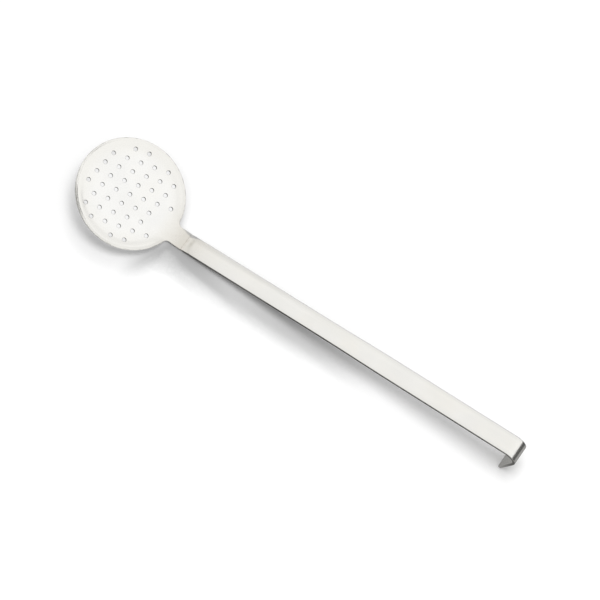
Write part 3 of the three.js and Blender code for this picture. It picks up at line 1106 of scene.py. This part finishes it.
def room_seen_in_steel(tree):
    """White overhead, a little darker outwards and low down, and dark low on one side"""
    parts = xyz(tree, add(tree, "ShaderNodeTexCoord").outputs["Generated"])
    off_middle = maths(tree, "ABSOLUTE", maths(tree, "SUBTRACT", parts["Y"], 0.35))
    shaded_sides = remap(tree, off_middle, 0.0, 0.4, 0.0, SIDE_LOSS)
    dish_end = remap(tree, parts["X"], -0.35, 0.4, DISH_END_LOSS, 0.0)
    band = maths(tree, "MULTIPLY", remap(tree, parts["Y"], 0.5, 0.75, 0.0, BAND_LOSS),
                 remap(tree, parts["Y"], 0.86, 0.97, 1.0, 0.0))
    horizon = remap(tree, parts["Z"], 0.0, 0.22, HORIZON_LOSS, 0.0)
    graded = 1.0
    for loss in (shaded_sides, dish_end, band, horizon):
        graded = maths(tree, "SUBTRACT", graded, loss)
    heading = vector_maths(tree, "NORMALIZE", combine(tree, parts["X"], parts["Y"], 0.0))["Vector"]
    towards_dark = vector_maths(tree, "DOT_PRODUCT", heading, DARK_SIDE)["Value"]
    dark = maths(tree, "MULTIPLY", remap(tree, towards_dark, 0.45, 0.75, 0.0, DARK_SIDE_LOSS),
                 remap(tree, parts["Z"], 0.40, 0.52, 1.0, 0.0))
    return maths(tree, "MULTIPLY", graded, maths(tree, "SUBTRACT", 1.0, dark))


def studio_surround(stage):
    """White where it is seen, softly graded where steel mirrors it, and the even light of the studio"""
    world = bpy.data.worlds.new("studio")
    world.use_nodes = True
    tree = world.node_tree
    tree.nodes.clear()
    path, visible = seen(tree)
    shown = maths(tree, "MAXIMUM", room_seen_in_steel(tree), path["Is Camera Ray"])
    strength = add(tree, "ShaderNodeMix", {"data_type": "FLOAT"}, {0: visible, 2: stage.fill, 3: shown})
    back = add(tree, "ShaderNodeBackground", inputs={"Color": WHITE, "Strength": strength.outputs[0]})
    add(tree, "ShaderNodeOutputWorld", inputs={"Surface": back.outputs[0]})
    bpy.context.scene.world = world


def key_light(stage):
    """A round soft light above the tool"""
    lamp = bpy.data.lights.new("key", "AREA")
    lamp.shape = "DISK"
    lamp.size = stage.key_size
    radius = stage.key_size / 2
    share_of_sky = radius ** 2 / stage.key_distance ** 2 * math.sin(stage.key_elevation)
    disk = math.pi * radius ** 2
    lamp.energy = stage.key / share_of_sky * math.pi * disk
    holder = bpy.data.objects.new("key", lamp)
    holder.visible_glossy = False
    flat = math.cos(stage.key_elevation)
    towards = Vector((flat * math.cos(stage.key_azimuth), flat * math.sin(stage.key_azimuth),
                      math.sin(stage.key_elevation)))
    holder.location = towards * stage.key_distance
    holder.rotation_mode = "QUATERNION"
    holder.rotation_quaternion = towards.to_track_quat("Z", "Y")
    bpy.context.scene.collection.objects.link(holder)


# Dark cards that only the steel shows: flags standing upright, and sheets lying on the table, which are
# painted shadow
# that the steel mirrors: each card's name, foot, width, height, tilt from lying, turn about Z and
# brightness
UPRIGHT_CARD = math.radians(-90)
CARDS = (
    ("hook_flag", (0.3147, 0.0375, 0.0005), 0.16, 0.079, UPRIGHT_CARD, math.radians(22), 0.10),
    # Sheets lying on the table: painted shadow that the steel mirrors below itself
    ("hook_painted_shadow", (0.19, 0.015, 0.0005), 0.15, 0.14, 0.0, math.radians(10), 0.40),
    ("handle_painted_shadow", (-0.118, -0.018, 0.0004), 0.034, 0.31, 0.0, 0.0, 0.30),
    ("outer_painted_shadow", (-0.03, -0.04, 0.00045), 0.06, 0.26, 0.0, 0.0, 0.12),
    ("far_flag", (0.378, 0.779, 0.0005), 0.32, 0.45, UPRIGHT_CARD, math.radians(54), 0.10),
)


def dark_card(name, foot, width, height, tilt, turn, brightness):
    """One of the cards, turned and tilted about the middle of its foot"""
    clear_selection()
    bpy.ops.mesh.primitive_plane_add(size=1.0)
    card = bpy.context.object
    card.name = name
    stand = Matrix.Translation(foot) @ Matrix.Rotation(turn, 4, "Z") @ Matrix.Rotation(tilt, 4, "Y")
    sized = Matrix.Translation((height / 2, 0, 0)) @ Matrix.Diagonal((height, width, 1, 1))
    card.matrix_world = stand @ sized
    bpy.ops.object.transform_apply(location=True, rotation=True, scale=True)
    material, tree = blank_material(name)
    glow = add(tree, "ShaderNodeEmission", inputs={"Color": WHITE, "Strength": brightness})
    add(tree, "ShaderNodeOutputMaterial", inputs={"Surface": glow.outputs[0]})
    card.data.materials.append(material)
    card.visible_camera = False
    card.visible_diffuse = False
    card.visible_shadow = False
    card.visible_transmission = False
    clear_selection()


def camera(stage):
    data = bpy.data.cameras.new("photo_view")
    data.lens = stage.lens
    data.sensor_width = 36.0
    data.clip_start = 0.1
    data.clip_end = 100.0
    holder = bpy.data.objects.new("photo_view", data)
    flat = math.cos(stage.elevation)
    back = Vector((math.sin(stage.azimuth) * flat, -math.cos(stage.azimuth) * flat,
                   math.sin(stage.elevation)))
    level = Vector((math.cos(stage.azimuth), math.sin(stage.azimuth), 0.0))
    up = back.cross(level)
    right = level * math.cos(stage.roll) + up * math.sin(stage.roll)
    upward = up * math.cos(stage.roll) - level * math.sin(stage.roll)
    turn = Matrix((right, upward, back)).transposed().to_4x4()
    holder.matrix_world = Matrix.Translation(CAMERA_TARGET + back * stage.distance) @ turn
    bpy.context.scene.collection.objects.link(holder)
    bpy.context.scene.camera = holder


class SKIMMER_OT_stage(bpy.types.Operator):
    """Set the table, the studio light and the camera"""
    bl_idname = "skimmer.stage"
    bl_label = "Studio stage"

    def execute(self, context):
        stage = context.scene.skimmer_stage
        clear_selection()
        bpy.ops.mesh.primitive_plane_add(size=8.0)
        table = context.object
        table.name = "table"
        table.data.materials.append(floor_material(stage))
        clear_selection()
        studio_surround(stage)
        key_light(stage)
        for card in CARDS:
            dark_card(*card)
        camera(stage)
        context.scene.view_settings.view_transform = "Standard"
        return {"FINISHED"}


class SKIMMER_PT_panel(bpy.types.Panel):
    """The skimmer's pieces and its stage"""
    bl_idname = "SKIMMER_PT_panel"
    bl_label = "Kitchen skimmer"
    bl_space_type = "VIEW_3D"
    bl_region_type = "UI"
    bl_category = "Skimmer"

    def draw(self, context):
        for operator in OPERATORS:
            self.layout.operator(operator.bl_idname)
        for name in GROUPS_OF_SETTINGS:
            settings = getattr(context.scene, name)
            box = self.layout.box()
            for key in settings.bl_rna.properties.keys():
                if key not in ("rna_type", "name"):
                    box.prop(settings, key)


OPERATORS = (SKIMMER_OT_dish, SKIMMER_OT_handle, SKIMMER_OT_weld, SKIMMER_OT_stage)
GROUPS_OF_SETTINGS = {
    "skimmer_dish": DishSizes,
    "skimmer_handle": HandleSizes,
    "skimmer_weld": WeldSizes,
    "skimmer_colours": SteelColours,
    "skimmer_stage": StageSettings,
}
CLASSES = (*GROUPS_OF_SETTINGS.values(), *OPERATORS, SKIMMER_PT_panel)


def register():
    for made in CLASSES:
        bpy.utils.register_class(made)
    for name, made in GROUPS_OF_SETTINGS.items():
        setattr(bpy.types.Scene, name, PointerProperty(type=made))


def unregister():
    for name in GROUPS_OF_SETTINGS:
        delattr(bpy.types.Scene, name)
    for made in reversed(CLASSES):
        bpy.utils.unregister_class(made)


def main():
    register()
    bpy.ops.skimmer.dish()
    bpy.ops.skimmer.handle()
    bpy.ops.skimmer.weld()
    bpy.ops.skimmer.stage()


if __name__ == "__main__":
    main()
